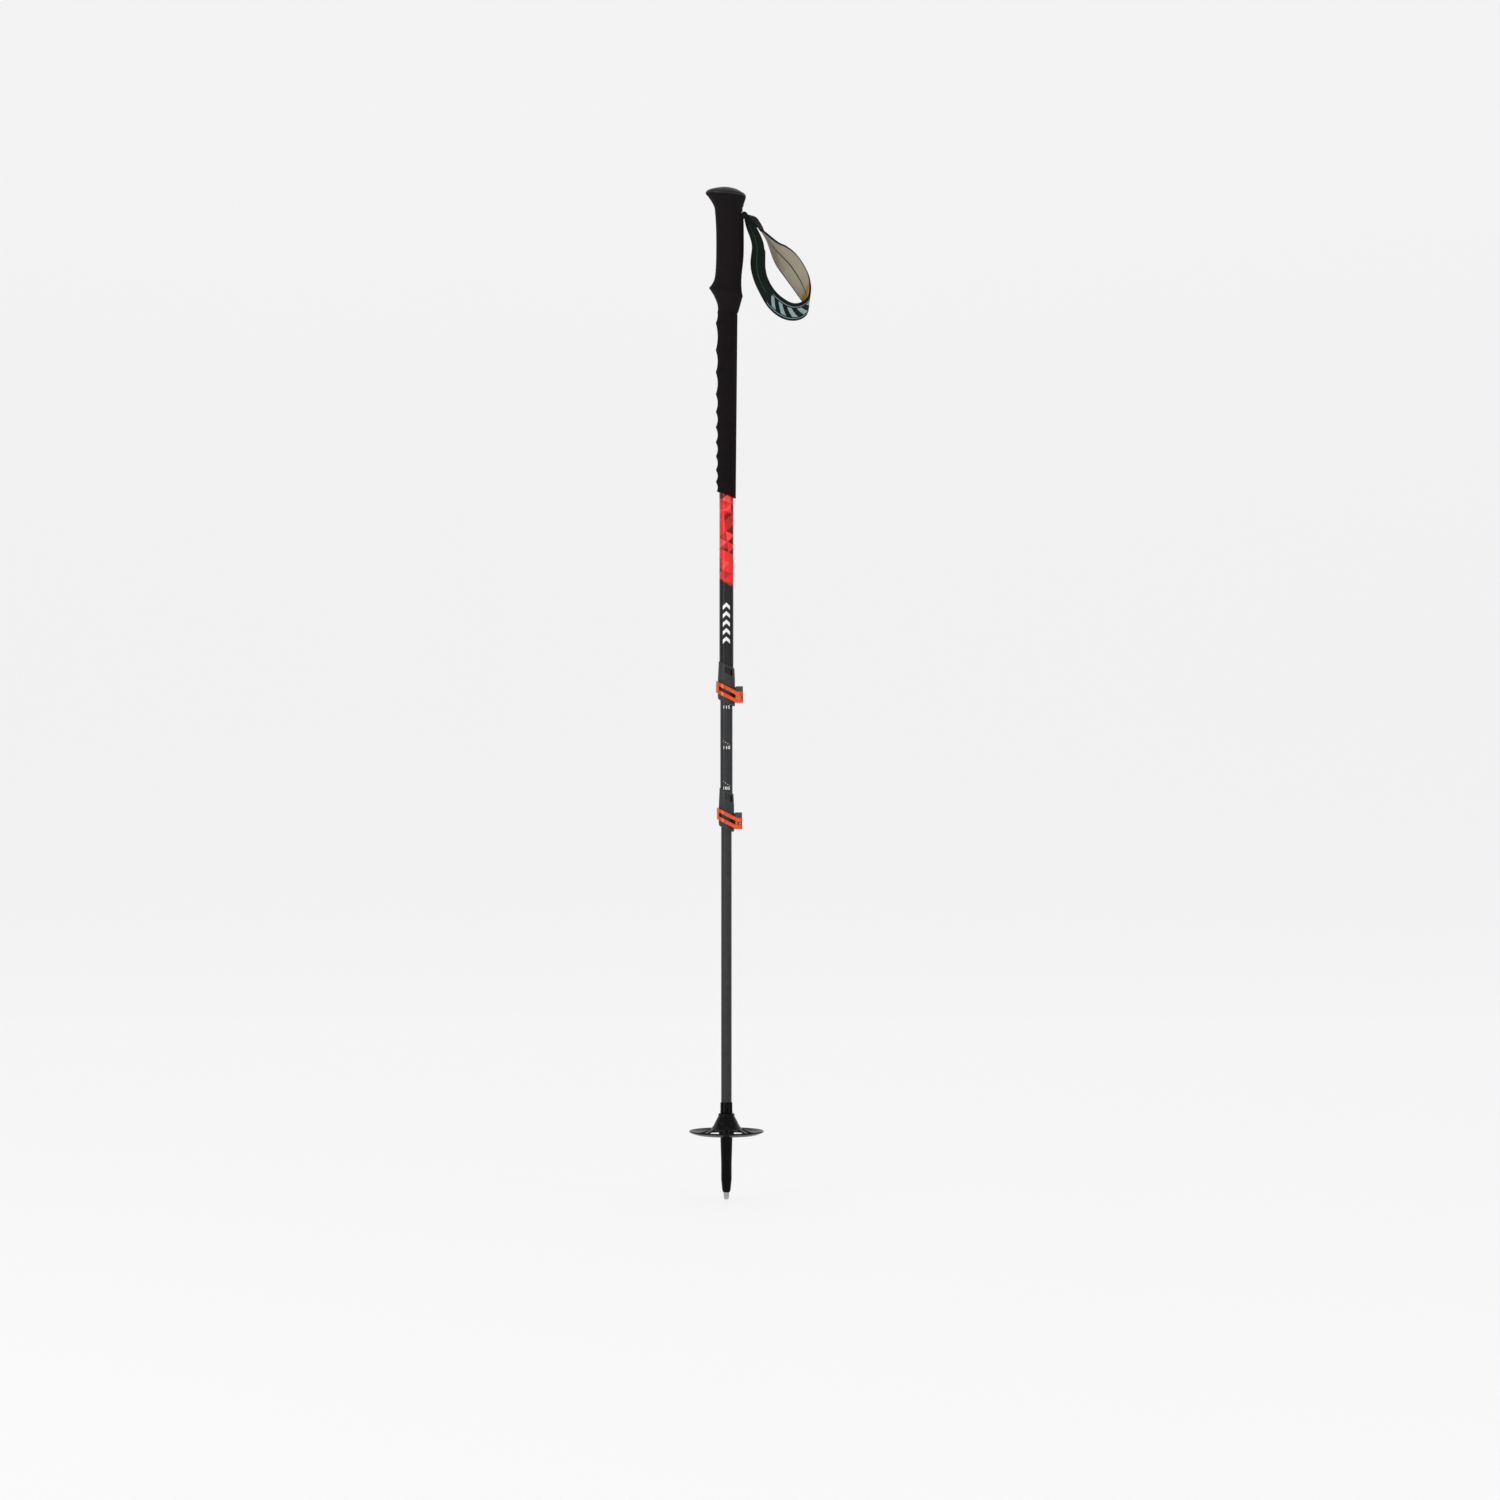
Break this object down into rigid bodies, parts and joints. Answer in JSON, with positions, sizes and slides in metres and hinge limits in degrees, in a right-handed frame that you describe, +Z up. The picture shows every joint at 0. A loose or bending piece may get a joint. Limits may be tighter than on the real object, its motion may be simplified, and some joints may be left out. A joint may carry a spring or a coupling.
{
  "type": "telescoping ski pole",
  "caption": "Telescoping touring ski pole with cam-lever clamps, foam grip with a long lower sleeve, padded wrist strap, snow basket and hard-metal tip.",
  "frame": {"origin": "centre of the tip's flat end, on the shaft's axis", "axes": "+Z up the shaft to the grip's top, +X to the rear, where the wrist strap leaves the grip, -Y the side that the length marks and the lever bands face"},
  "size_m": [0.1374, 0.084, 1.1506],
  "materials": {
    "carbide": "ground hard metal",
    "ferrule_plastic": "glossy black moulding",
    "basket_plastic": "semi-gloss black moulding",
    "lower_tube_anodised": "black anodised",
    "middle_tube_anodised": "black anodised, white length marks",
    "upper_tube_painted": "dark grey anodised with a red faceted print under the grip",
    "guide_plastic": "natural acetal",
    "foam": "fine-celled black foam",
    "grip_rubber": "fine-grained black foam rubber",
    "core_plastic": "moulded black",
    "cap_plastic": "fine-textured dark grey moulding",
    "strap_fabric": "tight-woven black webbing with a thin green line",
    "lining_fabric": "brushed beige lining",
    "collar_plastic": "dark grey moulding",
    "lever_red": "orange-red anodised",
    "steel": "stainless"
  },
  "bodies": {
    "handle": {"upper_tube": "upper_tube_painted", "grip_core": "core_plastic", "grip_foam": "grip_rubber", "grip_cap": "cap_plastic", "lower_grip_foam": "foam", "strap_tail": "strap_fabric", "upper_collar": "collar_plastic", "upper_cam_plate": "steel", "upper_pivot_pin": "steel", "upper_thrust_washer": "steel"},
    "strap": {"strap_webbing": "strap_fabric", "strap_lining": "lining_fabric"},
    "wedge": {"strap_wedge": "cap_plastic"},
    "upper_lever": {"upper_lever": "lever_red"},
    "upper_screw": {"upper_tension_screw": "steel"},
    "middle_section": {"middle_tube": "middle_tube_anodised", "middle_tube_guide": "guide_plastic", "lower_collar": "collar_plastic", "lower_cam_plate": "steel", "lower_pivot_pin": "steel", "lower_thrust_washer": "steel"},
    "lower_lever": {"lower_lever": "lever_red"},
    "lower_screw": {"lower_tension_screw": "steel"},
    "lower_section": {"lower_tube": "lower_tube_anodised", "lower_tube_guide": "guide_plastic", "tip_ferrule": "ferrule_plastic", "snow_basket": "basket_plastic", "carbide_tip": "carbide"}
  },
  "joints": [
    {"name": "middle_tube_slide", "type": "slide", "parent": "handle", "child": "middle_section", "axis": [0, 0, 1], "range_m": [-0.184, 0.095]},
    {"name": "lower_tube_slide", "type": "slide", "parent": "middle_section", "child": "lower_section", "axis": [0, 0, 1], "range_m": [-0.1, 0.3]},
    {"name": "upper_lever_hinge", "type": "hinge", "parent": "handle", "child": "upper_lever", "pos_m": [0.016, -0.008, 0.5707], "axis": [0, 0, 1], "range_deg": [0, 120]},
    {"name": "upper_screw_turn", "type": "hinge", "parent": "handle", "child": "upper_screw", "pos_m": [0.016, 0, 0.5707], "axis": [0, 1, 0], "range_deg": [-180, 180]},
    {"name": "lower_lever_hinge", "type": "hinge", "parent": "middle_section", "child": "lower_lever", "pos_m": [0.015, -0.008, 0.4275], "axis": [0, 0, 1], "range_deg": [0, 120]},
    {"name": "lower_screw_turn", "type": "hinge", "parent": "middle_section", "child": "lower_screw", "pos_m": [0.015, 0, 0.4275], "axis": [0, 1, 0], "range_deg": [-180, 180]},
    {"name": "strap_swing", "type": "hinge", "parent": "handle", "child": "strap", "pos_m": [0.0203, 0, 1.1185], "axis": [0, -1, 0], "range_deg": [0, 55]},
    {"name": "strap_wedge_slide", "type": "slide", "parent": "handle", "child": "wedge", "axis": [1, 0, 0], "range_m": [0, 0.0025]}
  ]
}
